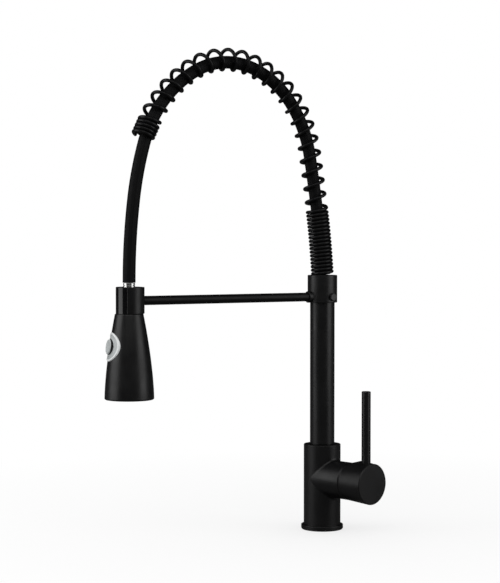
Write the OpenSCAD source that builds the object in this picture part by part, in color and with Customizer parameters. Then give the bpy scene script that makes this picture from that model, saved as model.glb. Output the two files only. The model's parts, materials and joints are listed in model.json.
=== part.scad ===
// Pull-down kitchen faucet with an exposed spring over its hose.
// Origin: centre of the underside of the base, on the deck. +Z is up.
// The support arm and the spring arch lie in the plane x = 0 and reach toward -Y.
// The lever's stub points along +X, turned a little toward +Y.

/* [Base and valve body] */
// How far the trim ring on the deck stands out from the body
base_lip = 3; // [1:0.5:9]
// Height of the top of the trim ring above the deck
base_h = 5.5; // [4:0.5:9]
// Thickness of the rubber gasket under the ring
gasket_h = 0.8; // [0.5:0.1:1.5]
// Diameter of the valve body and of its side stub
body_d = 43; // [40:1:50]
// Height of the body's flat top above the deck
body_top = 99.5; // [92:0.5:130]
// Radius of the tapped hole for the fixing stud (M8)
stud_hole_r = 3.4; // [3:0.1:5]
// Depth of the tapped stud hole
stud_hole_depth = 16; // [10:1:24]
// Radius of the tapped hole in each inlet bush (M10 x 1)
inlet_hole_r = 4.5; // [4:0.1:5]
// Length of each inlet bush
inlet_bush_len = 14; // [10:1:20]
// Wall of each inlet bush
inlet_bush_wall = 1.5; // [1:0.1:1.8]
// Distance of each inlet from the body's axis
inlet_offset = 8.5; // [7:0.5:10]

/* [Lever] */
// Angle of the stub's axis from +X toward +Y
lever_turn = 14; // [0:1:40]
// Height of the stub's axis above the deck
stub_z = 60; // [54:0.5:70]
// Distance from the body's axis to the end of the stub
stub_len = 44; // [40:0.5:60]
// How much larger than the body's radius the dome is that the handle tilts round
dome_over = 4; // [2:0.5:8]
// Gap between the dome and the hollow back of the handle cap
dome_gap = 0.4; // [0.3:0.05:1]
// Length of the handle cap along the stub's axis
cap_len = 34.2; // [26:0.2:40]
// How much the cap widens to its flat front face, in radius
cap_flare = 2; // [0:0.5:6]
// Diameter of the lever rod
rod_d = 10.4; // [7:0.1:12]
// Height of the rod's top above the stub's axis
rod_rise = 105.5; // [60:0.5:160]
// Distance of the rod's axis behind the cap's front face
rod_inset = 10; // [7:0.5:14]

/* [Column] */
// Outer diameter of the column tube
tube_d = 28.6; // [24:0.1:30]
// Wall of the column tube
tube_wall = 1.5; // [1:0.1:3]
// Height of the collar's underside above the deck
collar_z = 265; // [220:0.5:330]
// Height of the collar
collar_h = 32; // [24:1:44]
// Outer diameter of the collar
collar_d = 34.5; // [33:0.5:40]
// Diameter of the support arm
arm_d = 10.2; // [7:0.1:11]
// Height of the arm's axis above the collar's underside
arm_rise = 6.7; // [6:0.1:12]

/* [Hose and spring] */
// Outer diameter of the hose
hose_d = 14.2; // [11:0.1:15]
// Inner diameter of the hose
hose_bore = 9; // [6:0.5:10]
// Outer diameter of the spring
coil_d = 26.7; // [25:0.1:30]
// Diameter of the spring's wire
wire_d = 4.1; // [2.4:0.1:4.2]

/* [Spray head] */
// Diameter of the neck that the clip holds
neck_d = 29.2; // [26:0.2:32]
// Length of the neck that shows
neck_h = 29; // [20:0.5:40]
// Height of the bell-shaped shell
shell_h = 93.6; // [75:0.2:110]
// Diameter of the shell at its top
shell_top_d = 31.2; // [30:0.2:36]
// Diameter of the shell at its rim
shell_rim_d = 54.4; // [46:0.2:64]
// Wall of the shell
shell_wall = 2.2; // [1.6:0.1:3]
// Diameter of the button's surround
bezel_d = 32; // [26:0.5:34]
// Diameter of the button
button_d = 16.5; // [12:0.5:19]
// How far round the shell the button sits from -Y toward -X, in degrees
button_turn = 9; // [0:1:30]
// How far the button moves when it is pressed
button_travel = 1.8; // [1:0.1:2]
// Depth of the clip
clip_h = 29; // [18:0.5:30]
// Half of the angle that the clip leaves open
clip_open = 57; // [40:1:60]

/* [Hidden] */
$fn = 96;

// Clearances
press = 0.02;   // gap left where one part is pressed or screwed into another
fit = 0.05;   // radial gap of a turning or sliding fit
seat = 0.1;   // gap between still parts
part_gap = 0.3;   // gap between curved faces that move past each other
cut = 1;      // how far a cutting tool runs past what it cuts
edge = 0.5;   // chamfer on a turned edge
key_r = 1.1;  // hexagonal socket of a grub screw, corner to centre

body_r = body_d / 2;
base_r = body_r + base_lip;
spigot_r = body_r - 2;
bush_r = inlet_hole_r + inlet_bush_wall;
stud_offset = 10;
supply_duct_r = 3;
cross_duct_r = 2.8;
outlet_duct_r = 4;
riser_r = 4.5;

// Spout bearing in the top of the body
foot_r = tube_d / 2 + 1;
foot_len = 19;
washer_h = 1;
bore_floor = body_top - foot_len - washer_h - 0.5;
groove_z = bore_floor + 6;
groove_h = 4.6;
groove_depth = 1.6;
lock_r = 2;
seal_heights = [11, 16];
seal_groove_h = 2.4;
seal_r = 0.8;

// Cartridge, measured along the stub's axis from the body's axis
cavity_r = body_r - 3.5;
seal_d0 = 9.5;
fixed_d0 = seal_d0 + 1.5;
mixing_d0 = fixed_d0 + 3;
rotor_d0 = mixing_d0 + 4 + seat;
nut_d0 = stub_len - 10;
bonnet_d0 = nut_d0 + 2.2;
dome_r = body_r + dome_over;
pivot_d = stub_len - sqrt(dome_r * dome_r - body_r * body_r);
housing_r = cavity_r - 0.3;
housing_bore = 13.2;
disc_r = 12;
slide_r = 8;
finger = 13;
finger_tip_r = 2.2;
rotor_r = housing_bore - fit - 0.05;
pin_r = 1.5;
knuckle_r = 5.6;
stem_r = 4;

// Handle cap
back_r = dome_r + dome_gap;
cap_d0 = pivot_d + sqrt(back_r * back_r - body_r * body_r);
cap_d1 = cap_d0 + cap_len;
rod_at = cap_d1 - rod_inset;
rod_r = rod_d / 2;
rod_depth = 12;
cap_edge = 0.9;
cap_face_r = body_r + cap_flare;
grub_r = 2;
grub_d = cap_d0 + 13;
rod_edge = 0.6;

// Column
tube_r = tube_d / 2;
tube_bore = tube_r - tube_wall;
tube_z0 = body_top + 0.4;
collar_top = collar_z + collar_h;
tube_top = collar_z + 16;
collar_r = collar_d / 2;
arm_r = arm_d / 2;
arm_z = collar_z + arm_rise;
clamp_turn = 98;
clamp_r = 2.5;
clamp_head_r = 4.6;
clamp_head_h = 3.2;
collar_wall = 3;
mount_len = 9;
ferrule_wall = 1.6;
ferrule_len = 3.4;

// Arch: length and bend of each tangent arc, from the collar to the spray head.
// A hinge of the hose lies between each two arcs, except between arcs 3 and 4.
arc_len = [76, 64, 63, 64, 79, 104, 65, 93];
arc_bend = [4.6, 2, 24.7, 33.5, 51.8, 43, 9.6, 7.3];
start_heading = 3.5;
ARCS = len(arc_len);
function arc_r(i) = arc_len[i] / (arc_bend[i] * PI / 180);
// Angle from the vertical toward -Y at the start of arc i
function heading(i) = i == 0 ? start_heading : heading(i - 1) + arc_bend[i - 1];
// Centre of arc i, as [distance forward, height]
function arc_centre(i) = joint_at(i) + arc_r(i) * [cos(heading(i)), -sin(heading(i))];
// Start of arc i, as [distance forward, height]
function joint_at(i) = i == 0 ? [0, collar_top]
  : arc_centre(i - 1) + arc_r(i - 1) * [-cos(heading(i)), sin(heading(i))];
hose_r = hose_d / 2;
hose_bore_r = hose_bore / 2;
ball_r = hose_r - 0.2;
socket_r = hose_r + 0.1;
hose_sides = 16;
hose_steps = 7;
coil_r = (coil_d - wire_d) / 2;
wire_r = wire_d / 2;

// Turns of the spring: close on arc 0, open on arcs 1 to 4, and open then close on arc 5
base_turns = 17;
open_turns = [0, 4, 4, 4, 5];
last_open = 5;
last_close = 5;
last_open_len = 79;   // length of the open turns on arc 5
last_share = last_open_len / arc_len[5];
wire_sides = 8;
turn_steps = 14;
wire_trim = 2.4;

// Spray head, hanging below the end of the arch
head_y = joint_at(ARCS)[0];
hose_end = joint_at(ARCS)[1];
nut_show = 4.4;
nut_r = 6.5;
nut_len = 12;      // length of the fitting inside the neck
nut_flange = 1.6;  // its flange, which holds it in the neck
nut_flange_h = 3;
neck_top = hose_end - nut_show;
neck_z = neck_top - neck_h;
neck_r = neck_d / 2;
shell_top = neck_z - 0.5;
rim_z = shell_top - shell_h;
shell_top_r = shell_top_d / 2;
shell_rim_r = shell_rim_d / 2;
shell_power = 1.57;
shell_steps = 20;
rim_round = 1.6;
// Radius of the shell's outside at height z
function shell_r(z) = shell_top_r
  + (shell_rim_r - shell_top_r) * (1 - pow(max(0, 1 - (shell_top - z) / shell_h), shell_power));
waterway_r = 7;
waterway_bore = 4.5;
face_h = 3.4;
face_r = shell_rim_r - shell_wall - 0.6;
face_z = rim_z + 0.8;
nozzle_drop = 0.5;
nozzle_r = 1.1;
nozzle_circles = [[12.5, 12], [16.5, 18], [20.5, 24]];   // radius and count of each circle
aerator_r = 8.5;
aerator_hole_r = 1.2;

// Button on the shell
button_share = 0.415;
button_z = shell_top - button_share * shell_h;
button_r = button_d / 2;
bezel_r = bezel_d / 2;
bezel_proud = 1;
button_proud = 2.5;
button_front = shell_r(button_z) + button_proud;
button_tilt = atan((shell_r(button_z - bezel_r) - shell_r(button_z + bezel_r)) / bezel_d);
button_hole_r = button_r + part_gap;
spool_r = 3;
barrel_r = 7.4;
button_h = 6;
button_edge = 0.6;

// Clip
clip_bore = neck_r + 0.6;
clip_r = clip_bore + 1.6;
clip_top = neck_top - 0.2;
clip_z = clip_top - clip_h;
clip_screw_r = 1.45;
clip_screw_head_r = 2.5;
clip_screw_head_h = 1.05;

// Lays its children, drawn along +Z, along the stub's axis from distance d
module along_stub(d = 0) {
  rotate([0, 0, lever_turn]) translate([d, 0, stub_z]) rotate([0, 90, 0]) children();
}

// Lays its children, drawn as [forward, up], in the plane of the arch
module in_arch() {
  rotate([90, 0, -90]) children();
}

module tube(outer, inner, h) {
  difference() {
    cylinder(r = outer, h = h);
    translate([0, 0, -cut]) cylinder(r = inner, h = h + 2 * cut);
  }
}

module ring(middle, r) {
  rotate_extrude() translate([middle, 0]) circle(r = r, $fn = 24);
}

module at_head() {
  translate([0, -head_y, 0]) children();
}

// Lays its children, drawn along +Z, out through the button's centre
module at_button(d = 0) {
  at_head() rotate([0, 0, -button_turn]) translate([0, 0, button_z]) rotate([90 - button_tilt, 0, 0])
    translate([0, 0, d]) children();
}

// ---- Base ----

module base_gasket() {
  color([0.1, 0.1, 0.1]) tube(base_r - 0.8, spigot_r + 0.4, gasket_h);
}

module base_ring() {
  color([0.06, 0.06, 0.06]) translate([0, 0, gasket_h]) difference() {
    union() {
      cylinder(r = base_r, h = base_h - gasket_h - edge);
      translate([0, 0, base_h - gasket_h - edge])
        cylinder(r1 = base_r, r2 = base_r - edge, h = edge);
    }
    translate([0, 0, -cut]) cylinder(r = spigot_r + seat, h = base_h + 2 * cut);
  }
}

// Lays its children at one inlet: side is 1 for hot and -1 for cold
module at_inlet(side) {
  rotate([0, 0, lever_turn]) translate([0, side * inlet_offset, 0]) children();
}

module valve_body() {
  color([0.06, 0.06, 0.06]) difference() {
    union() {
      translate([0, 0, gasket_h]) cylinder(r = spigot_r, h = base_h);
      translate([0, 0, base_h]) cylinder(r = body_r, h = body_top - base_h - edge);
      translate([0, 0, body_top - edge]) cylinder(r1 = body_r, r2 = body_r - edge, h = edge);
      along_stub() cylinder(r = body_r, h = stub_len);
    }
    translate([0, 0, bore_floor]) cylinder(r = foot_r + fit, h = body_top);
    along_stub(seal_d0) cylinder(r = cavity_r, h = stub_len);
    rotate([0, 0, lever_turn]) translate([-stud_offset, 0, -cut])
      cylinder(r = stud_hole_r, h = stud_hole_depth + gasket_h + cut);
    for (side = [-1, 1]) at_inlet(side) {
      translate([0, 0, -cut]) cylinder(r = bush_r + press, h = inlet_bush_len + gasket_h + press + cut);
      cylinder(r = supply_duct_r, h = stub_z - 4);
    }
    for (side = [-1, 1])
      along_stub() translate([4, side * inlet_offset, 0]) cylinder(r = cross_duct_r, h = seal_d0 + cut);
    along_stub(-3) translate([-9, 0, 0]) cylinder(r = outlet_duct_r, h = seal_d0 + 3 + cut);
    translate([0, 0, stub_z + 9]) cylinder(r = riser_r, h = bore_floor);
    translate([0, foot_r - 2, groove_z]) rotate([-90, 0, 0]) cylinder(r = lock_r, h = body_r);
  }
}

module inlet_bush(side) {
  color("goldenrod") at_inlet(side) translate([0, 0, gasket_h]) tube(bush_r, inlet_hole_r, inlet_bush_len);
}

module thrust_washer() {
  color([0.9, 0.9, 0.86]) translate([0, 0, bore_floor]) tube(foot_r - 0.4, foot_r - 5, washer_h);
}

module spout_lock_screw() {
  color([0.5, 0.5, 0.5]) translate([0, foot_r - groove_depth + 0.7, groove_z]) rotate([-90, 0, 0])
    difference() {
      cylinder(r = lock_r - fit, h = body_r - foot_r + groove_depth - 1.6);
      translate([0, 0, body_r - foot_r + groove_depth - 3.6]) cylinder(r = key_r, h = 3, $fn = 6);
    }
}

module port_holes(h) {
  for (side = [-1, 1]) translate([4, side * inlet_offset, -cut]) cylinder(r = 2.6, h = h + 2 * cut);
  translate([-8, 0, -cut]) cylinder(r = 2.8, h = h + 2 * cut);
}

module cartridge_seals() {
  color([0.2, 0.2, 0.2]) along_stub(seal_d0) difference() {
    cylinder(r = housing_r, h = fixed_d0 - seal_d0);
    port_holes(fixed_d0 - seal_d0);
  }
}

module fixed_disc() {
  color([0.93, 0.92, 0.88]) along_stub(fixed_d0) difference() {
    cylinder(r = disc_r + 1, h = mixing_d0 - fixed_d0);
    port_holes(mixing_d0 - fixed_d0);
  }
}

module cartridge_housing() {
  color([0.9, 0.9, 0.9]) along_stub(fixed_d0) tube(housing_r, housing_bore, nut_d0 - fixed_d0);
}

module cartridge_nut() {
  color("goldenrod") along_stub(nut_d0) tube(cavity_r - seat, housing_bore + 1, bonnet_d0 - nut_d0);
}

module bonnet() {
  color([0.08, 0.08, 0.08]) difference() {
    union() {
      along_stub(bonnet_d0) cylinder(r = cavity_r - seat, h = stub_len - bonnet_d0 + 1);
      intersection() {
        along_stub(pivot_d) sphere(r = dome_r);
        along_stub(stub_len) cylinder(r = body_r + 1, h = dome_r);
      }
    }
    along_stub(pivot_d) sphere(r = dome_r - 2.2);
    along_stub(bonnet_d0 - cut) cylinder(r = dome_r * sin(34), h = dome_r * 2);
  }
}

// ---- Cartridge: the rotor turns for temperature, the stem tilts for flow ----

module cartridge_rotor() {
  color([0.85, 0.85, 0.82]) difference() {
    along_stub(rotor_d0) cylinder(r = rotor_r, h = nut_d0 - rotor_d0 - 0.5);
    // slot that the stem swings in
    along_stub(rotor_d0 - cut) translate([-rotor_r, -knuckle_r - 0.3, 0])
      cube([2 * rotor_r - 3, 2 * knuckle_r + 0.6, dome_r]);
    along_stub(pivot_d) rotate([90, 0, 0]) translate([0, 0, -rotor_r - cut])
      cylinder(r = pin_r, h = 2 * rotor_r + 2 * cut);
  }
}

module stem_pin() {
  color([0.7, 0.7, 0.7]) along_stub(pivot_d) rotate([90, 0, 0])
    translate([0, 0, 1 - rotor_r]) cylinder(r = pin_r - press / 2, h = 2 * rotor_r - 2);
}

module mixing_disc() {
  color([0.93, 0.92, 0.88]) difference() {
    along_stub(mixing_d0 + press) cylinder(r = slide_r, h = rotor_d0 - mixing_d0 - seat - 0.1);
    along_stub(pivot_d - finger - finger_tip_r - 0.3) cylinder(r = finger_tip_r + 0.3, h = finger);
  }
}

module lever_stem() {
  color([0.78, 0.68, 0.4]) difference() {
    union() {
      along_stub(pivot_d) rotate([90, 0, 0]) translate([0, 0, -knuckle_r])
        cylinder(r = knuckle_r, h = 2 * knuckle_r);
      along_stub(pivot_d) cylinder(r = stem_r, h = rod_at - rod_r - 1 - pivot_d);
      along_stub(pivot_d - finger) cylinder(r = 1.6, h = finger);
      along_stub(pivot_d - finger) sphere(r = finger_tip_r);
    }
    along_stub(pivot_d) rotate([90, 0, 0]) translate([0, 0, -rotor_r])
      cylinder(r = pin_r + fit, h = 2 * rotor_r);
  }
}

// ---- Handle ----

module handle_cap() {
  color([0.05, 0.05, 0.05]) difference() {
    union() {
      along_stub(pivot_d + back_r * cos(60))
        cylinder(r1 = body_r - 0.1, r2 = cap_face_r, h = cap_d1 - cap_edge - pivot_d - back_r * cos(60));
      along_stub(cap_d1 - cap_edge)
        cylinder(r1 = cap_face_r, r2 = cap_face_r - cap_edge, h = cap_edge);
    }
    along_stub(pivot_d) sphere(r = back_r);
    along_stub(pivot_d) cylinder(r = stem_r + press, h = rod_at - rod_r - 0.9 - pivot_d);
    along_stub(rod_at) rotate([0, -90, 0]) translate([0, 0, -rod_depth])
      cylinder(r = rod_r + press, h = rod_rise);
    along_stub(grub_d) rotate([0, 90, 0]) cylinder(r = grub_r, h = 2 * cap_face_r);
  }
}

module lever_rod() {
  color([0.03, 0.03, 0.03]) along_stub(rod_at) rotate([0, -90, 0]) {
    translate([0, 0, -rod_depth + 0.1]) cylinder(r = rod_r, h = rod_depth + rod_rise - rod_edge - 0.1);
    translate([0, 0, rod_rise - rod_edge]) cylinder(r1 = rod_r, r2 = rod_r - rod_edge, h = rod_edge);
  }
}

module handle_grub_screw() {
  color([0.4, 0.4, 0.4]) along_stub(grub_d) rotate([0, 90, 0]) difference() {
    translate([0, 0, stem_r + fit]) cylinder(r = grub_r - fit, h = 8);
    translate([0, 0, stem_r + 5]) cylinder(r = key_r, h = 8, $fn = 6);
  }
}

// ---- Column ----

module column_foot() {
  color("goldenrod") difference() {
    union() {
      translate([0, 0, bore_floor + washer_h + seat]) cylinder(r = foot_r, h = foot_len);
      translate([0, 0, body_top - 2]) cylinder(r = tube_bore - press, h = 20);
    }
    translate([0, 0, bore_floor]) cylinder(r = tube_bore - 3, h = foot_len + 30);
    translate([0, 0, groove_z - groove_h / 2]) tube(foot_r + cut, foot_r - groove_depth, groove_h);
    for (z = seal_heights) translate([0, 0, bore_floor + z]) tube(foot_r + cut, foot_r - 1.8, seal_groove_h);
    // the tube sits on the foot's shoulder
    translate([0, 0, body_top]) tube(foot_r + cut, tube_bore - press, 2);
  }
}

module foot_o_rings() {
  color([0.1, 0.1, 0.1]) for (z = seal_heights)
    translate([0, 0, bore_floor + z + seal_groove_h / 2]) ring(foot_r - seal_r - 0.15, seal_r);
}

module column_tube() {
  color([0.06, 0.06, 0.06]) translate([0, 0, tube_z0]) tube(tube_r, tube_bore, tube_top - tube_z0);
}

module collar() {
  color([0.06, 0.06, 0.06]) difference() {
    union() {
      translate([0, 0, collar_z + edge]) cylinder(r = collar_r, h = collar_h - 2 * edge);
      translate([0, 0, collar_z]) cylinder(r1 = collar_r - edge, r2 = collar_r, h = edge);
      translate([0, 0, collar_top - edge]) cylinder(r1 = collar_r, r2 = collar_r - edge, h = edge);
    }
    translate([0, 0, collar_z - cut]) cylinder(r = tube_r + press, h = tube_top - collar_z + cut + seat);
    translate([0, 0, collar_z]) cylinder(r = coil_d / 2 - collar_wall, h = collar_h + cut);
    translate([0, 0, arm_z]) rotate([90, 0, 0]) cylinder(r = arm_r + press, h = collar_d);
    translate([0, 0, arm_z]) rotate([90, 0, clamp_turn]) cylinder(r = clamp_r + fit, h = collar_d);
  }
}

module clamp_screw() {
  color([0.3, 0.3, 0.3]) translate([0, 0, arm_z]) rotate([90, 0, clamp_turn]) {
    translate([0, 0, tube_r + fit]) cylinder(r = clamp_r, h = collar_r - tube_r + 0.5);
    translate([0, 0, collar_r + seat]) cylinder(r = clamp_head_r, h = clamp_head_h, $fn = 6);
  }
}

module hose_union() {
  color("goldenrod") difference() {
    union() {
      translate([0, 0, tube_top - 20]) cylinder(r = tube_bore - fit, h = 14);
      translate([0, 0, tube_top - 6])
        cylinder(r = coil_d / 2 - collar_wall - seat, h = collar_top - tube_top - 2);
    }
    translate([0, 0, tube_top - 30]) cylinder(r = hose_bore_r - 0.5, h = 60);
    for (z = [-16, -11]) translate([0, 0, tube_top + z]) tube(tube_bore + cut, tube_bore - 1.6, 2);
  }
}

module spring_mount() {
  color([0.06, 0.06, 0.06])
    in_arch() translate([0, collar_top]) rotate([-90, 0, 0]) rotate([0, start_heading, 0]) difference() {
      translate([0, 0, 0.7]) cylinder(r = coil_r - wire_r - 0.35, h = mount_len);
      translate([0, 0, -cut]) cylinder(r = hose_r + 0.15, h = 20);
    }
}

module support_arm() {
  color([0.06, 0.06, 0.06]) difference() {
    translate([0, -tube_r - 0.3, arm_z]) rotate([90, 0, 0])
      cylinder(r = arm_r, h = head_y - clip_r + 4 - tube_r);
    translate([0, -head_y, clip_z - cut]) cylinder(r = clip_r + press, h = clip_h + 2 * cut);
    translate([0, -head_y, arm_z]) rotate([-90, 0, 0]) cylinder(r = clip_screw_r + fit, h = clip_r + 10);
  }
}

module arm_ferrule() {
  color([0.06, 0.06, 0.06]) difference() {
    translate([0, -tube_r, arm_z]) rotate([90, 0, 0])
      tube(arm_r + ferrule_wall, arm_r + press, collar_r - tube_r + ferrule_len);
    translate([0, 0, collar_z]) cylinder(r = collar_r + press, h = collar_h);
  }
}

module hose_clip() {
  color([0.06, 0.06, 0.06]) difference() {
    at_head() translate([0, 0, clip_z]) tube(clip_r, clip_bore, clip_h);
    at_head() translate([0, 0, clip_z - cut]) linear_extrude(clip_h + 2 * cut)
      polygon([[0, 0], 60 * [-sin(clip_open), -cos(clip_open)], [0, -80],
        60 * [sin(clip_open), -cos(clip_open)]]);
    translate([0, -head_y, arm_z]) rotate([-90, 0, 0]) cylinder(r = clip_screw_r + 0.15, h = clip_r + 10);
    translate([0, -head_y + clip_bore - 0.3, arm_z]) rotate([-90, 0, 0])
      cylinder(r1 = clip_screw_head_r + 0.5, r2 = clip_screw_r - 0.25, h = 1.8);
  }
}

module clip_screw() {
  color([0.3, 0.3, 0.3]) translate([0, -head_y + clip_bore + 0.1, arm_z]) rotate([-90, 0, 0]) {
    cylinder(r1 = clip_screw_head_r, r2 = clip_screw_r, h = clip_screw_head_h);
    translate([0, 0, clip_screw_head_h]) cylinder(r = clip_screw_r, h = 9);
  }
}

// ---- Hose: one arc between each two hinges, with a ball in the next one's socket ----

// Point of the arch a share k along arc i, running straight on past its ends, as [forward, up]
function axis_at(i, k) = let(
    inside = min(1, max(0, k)),
    h = heading(i) + inside * arc_bend[i],
    past = (k - inside) * arc_len[i])
  arc_centre(i) + arc_r(i) * [-cos(h), sin(h)] + past * [sin(h), cos(h)];

// Section through the hose's wall on arc i, as a closed loop of [distance along the arc, radius]
function hose_wall(i) = concat(
  [for (n = [0:hose_steps]) [(n == 0 && i > 0 ? sqrt(socket_r * socket_r - hose_r * hose_r) : 0)
    + arc_len[i] * n / hose_steps, hose_r]],
  i == ARCS - 1 ? [[arc_len[i], hose_bore_r]]
    : [for (a = [0, 22, 45]) [arc_len[i] + ball_r * sin(a), ball_r * cos(a)]],
  [for (n = [hose_steps:-1:0]) [(n == hose_steps && i < ARCS - 1 ? ball_r * cos(40) : 0)
    + (n == 0 && i > 0 ? socket_r * 0.78 : 0) + arc_len[i] * n / hose_steps, hose_bore_r]],
  i == 0 ? [] : [for (a = [50, 28]) [socket_r * sin(a), socket_r * cos(a)]]);

module hose_section(i) {
  sides = hose_sides;
  wall = hose_wall(i);
  count = len(wall);
  rings = [for (w = wall) let(
      k = w[0] / arc_len[i],
      p = axis_at(i, k),
      h = heading(i) + min(1, max(0, k)) * arc_bend[i])
    [for (j = [0:sides - 1]) let(a = 360 * j / sides)
      [p[0] + w[1] * cos(a) * cos(h), p[1] - w[1] * cos(a) * sin(h), w[1] * sin(a)]]];
  color([0.05, 0.05, 0.05]) in_arch() polyhedron(
    points = [for (r = rings) each r],
    faces = [for (n = [0:count - 1]) for (j = [0:sides - 1]) let(m = (j + 1) % sides, q = (n + 1) % count)
      each [[n * sides + j, q * sides + m, q * sides + j],
            [n * sides + j, n * sides + m, q * sides + m]]]);
}

module hose_nut() {
  color([0.85, 0.85, 0.87]) at_head() translate([0, 0, neck_top - nut_len]) difference() {
    union() {
      cylinder(r = nut_r, h = nut_len + nut_show - seat);
      cylinder(r = nut_r + nut_flange, h = nut_flange_h);
    }
    translate([0, 0, -cut]) cylinder(r = hose_bore_r - 0.7, h = 20);
  }
}

// ---- Spring ----

// Centre of the wire at share k along arc i, where the coil has turned by a degrees
function wire_at(i, k, a) = let(h = heading(i) + k * arc_bend[i], p = axis_at(i, k))
  [p[0] + coil_r * sin(a) * cos(h), p[1] - coil_r * sin(a) * sin(h), coil_r * cos(a)];
function unit(v) = v / norm(v);

// Wire along the stretches of one arc, each [share at start, share at end, turns]
module coil(i, stretches) {
  path = [for (st = stretches) let(steps = st[2] * turn_steps, first = st[0] == stretches[0][0])
    for (n = [(first ? 0 : 1):steps]) let(
      a = n == 0 && first ? wire_trim
        : n == steps && st[1] == stretches[len(stretches) - 1][1] ? 360 * st[2] - wire_trim
        : 360 * n / turn_steps,
      k = st[0] + (st[1] - st[0]) * a / (360 * st[2]))
    [k, a]];
  centre = [for (q = path) wire_at(i, q[0], q[1])];
  last = len(centre) - 1;
  rings = [for (n = [0:last]) let(
      t = unit(centre[min(n + 1, last)] - centre[max(n - 1, 0)]),
      q = path[n],
      p = axis_at(i, q[0]),
      out = unit(centre[n] - [p[0], p[1], 0]),
      side = unit(cross(t, out)),
      lift = cross(side, t))
    [for (j = [0:wire_sides - 1]) centre[n]
      + wire_r * (cos(360 * j / wire_sides) * lift + sin(360 * j / wire_sides) * side)]];
  sides = wire_sides;
  in_arch() polyhedron(
    points = [for (r = rings) each r],
    faces = concat(
      [[for (j = [0:sides - 1]) j]],
      [for (n = [0:last - 1]) for (j = [0:sides - 1]) let(m = (j + 1) % sides)
        each [[n * sides + j, (n + 1) * sides + j, (n + 1) * sides + m],
              [n * sides + j, (n + 1) * sides + m, n * sides + m]]],
      [[for (j = [sides - 1:-1:0]) last * sides + j]]));
}

module spring_base() {
  color([0.05, 0.05, 0.05]) coil(0, [[wire_r / arc_len[0], 1, base_turns]]);
}

module spring_coil(i) {
  color([0.05, 0.05, 0.05])
    if (i < 5) coil(i, [[0, 1, open_turns[i]]]);
    else coil(i, [[0, last_share, last_open], [last_share, 1, last_close]]);
}

// ---- Spray head ----

module head_neck() {
  color([0.04, 0.04, 0.04]) at_head() difference() {
    union() {
      translate([0, 0, shell_top]) cylinder(r = neck_r, h = neck_top - shell_top - 0.6);
      translate([0, 0, neck_top - 0.6]) cylinder(r1 = neck_r, r2 = neck_r - 0.6, h = 0.6);
      translate([0, 0, shell_top - 8]) cylinder(r = shell_top_r - shell_wall - seat, h = 8.5);
    }
    translate([0, 0, neck_top - nut_len + nut_flange_h]) cylinder(r = nut_r + fit, h = nut_len);
    translate([0, 0, neck_top - nut_len - 0.5])
      cylinder(r = nut_r + nut_flange + seat, h = nut_flange_h + 0.7);
    translate([0, 0, neck_z - 9]) cylinder(r = waterway_r + press, h = neck_h - 3.5);
  }
}

module check_valve() {
  color([0.9, 0.9, 0.9]) at_head() translate([0, 0, neck_z + 1]) tube(waterway_bore - press, 2.2, 9);
}

// Solid with the shell's outline
module bell_outside() {
  rotate_extrude() polygon(concat(
    [[0, rim_z], [shell_rim_r - rim_round, rim_z]],
    [for (a = [30, 60]) [shell_rim_r - rim_round * (1 - sin(a)), rim_z + rim_round * (1 - cos(a))]],
    [for (n = [1:shell_steps]) let(
        z = rim_z + rim_round + (shell_h - rim_round) * (n - 1) / (shell_steps - 1))
      [shell_r(z), z]],
    [[0, shell_top]]));
}

// The hollow inside the shell, open at both ends
module bell_inside() {
  rotate_extrude() polygon(concat(
    [[0, rim_z - cut], [shell_r(rim_z) - shell_wall, rim_z - cut]],
    [for (n = [0:shell_steps]) let(z = rim_z + shell_h * n / shell_steps) [shell_r(z) - shell_wall, z]],
    [[shell_top_r - shell_wall, shell_top + cut], [0, shell_top + cut]]));
}

module head_shell() {
  color([0.06, 0.06, 0.06]) difference() {
    at_head() bell_outside();
    at_head() bell_inside();
    at_button() cylinder(r = button_hole_r + 0.8, h = shell_rim_d);
  }
}

module head_waterway() {
  color([0.85, 0.85, 0.85]) at_head() difference() {
    translate([0, 0, face_z + face_h + 2]) cylinder(r = waterway_r, h = neck_z + 10.5 - face_z - face_h - 2);
    translate([0, 0, face_z]) cylinder(r = waterway_bore, h = neck_z + 20);
    rotate([0, 0, -button_turn]) translate([0, 0, button_z]) rotate([90 - button_tilt, 0, 0])
      translate([0, 0, -barrel_r]) cylinder(r = barrel_r - 1.9, h = 40);
  }
}

module diverter_body() {
  color([0.85, 0.85, 0.85]) difference() {
    at_button(waterway_r - 1.5)
      cylinder(r = barrel_r, h = button_front - button_travel - button_h - waterway_r + 1.1);
    at_button(0) cylinder(r = spool_r + fit, h = shell_rim_d);
    at_button(waterway_r + 4.5) cylinder(r = barrel_r - 1.4, h = shell_rim_d);
    at_head() translate([0, 0, face_z]) cylinder(r = waterway_r + press, h = neck_z);
  }
}

module nozzle_places() {
  for (circle = nozzle_circles)
    for (n = [1:circle[1]]) rotate([0, 0, 360 * n / circle[1]]) translate([circle[0], 0, 0]) children();
}

module spray_face() {
  color([0.05, 0.05, 0.05]) at_head() translate([0, 0, face_z]) difference() {
    cylinder(r = face_r, h = face_h);
    translate([0, 0, -cut]) cylinder(r = aerator_r + fit, h = face_h + 2 * cut);
    translate([0, 0, -cut]) nozzle_places() cylinder(r = nozzle_r + fit, h = face_h + 2 * cut, $fn = 16);
  }
}

module spray_nozzles() {
  color([0.15, 0.15, 0.15]) at_head() {
    translate([0, 0, face_z + face_h + press]) tube(face_r - 0.6, aerator_r + 0.6, 1.2);
    nozzle_places() translate([0, 0, rim_z - nozzle_drop])
      cylinder(r = nozzle_r, h = face_z + face_h + 0.5 - rim_z + nozzle_drop, $fn = 16);
  }
}

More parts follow.
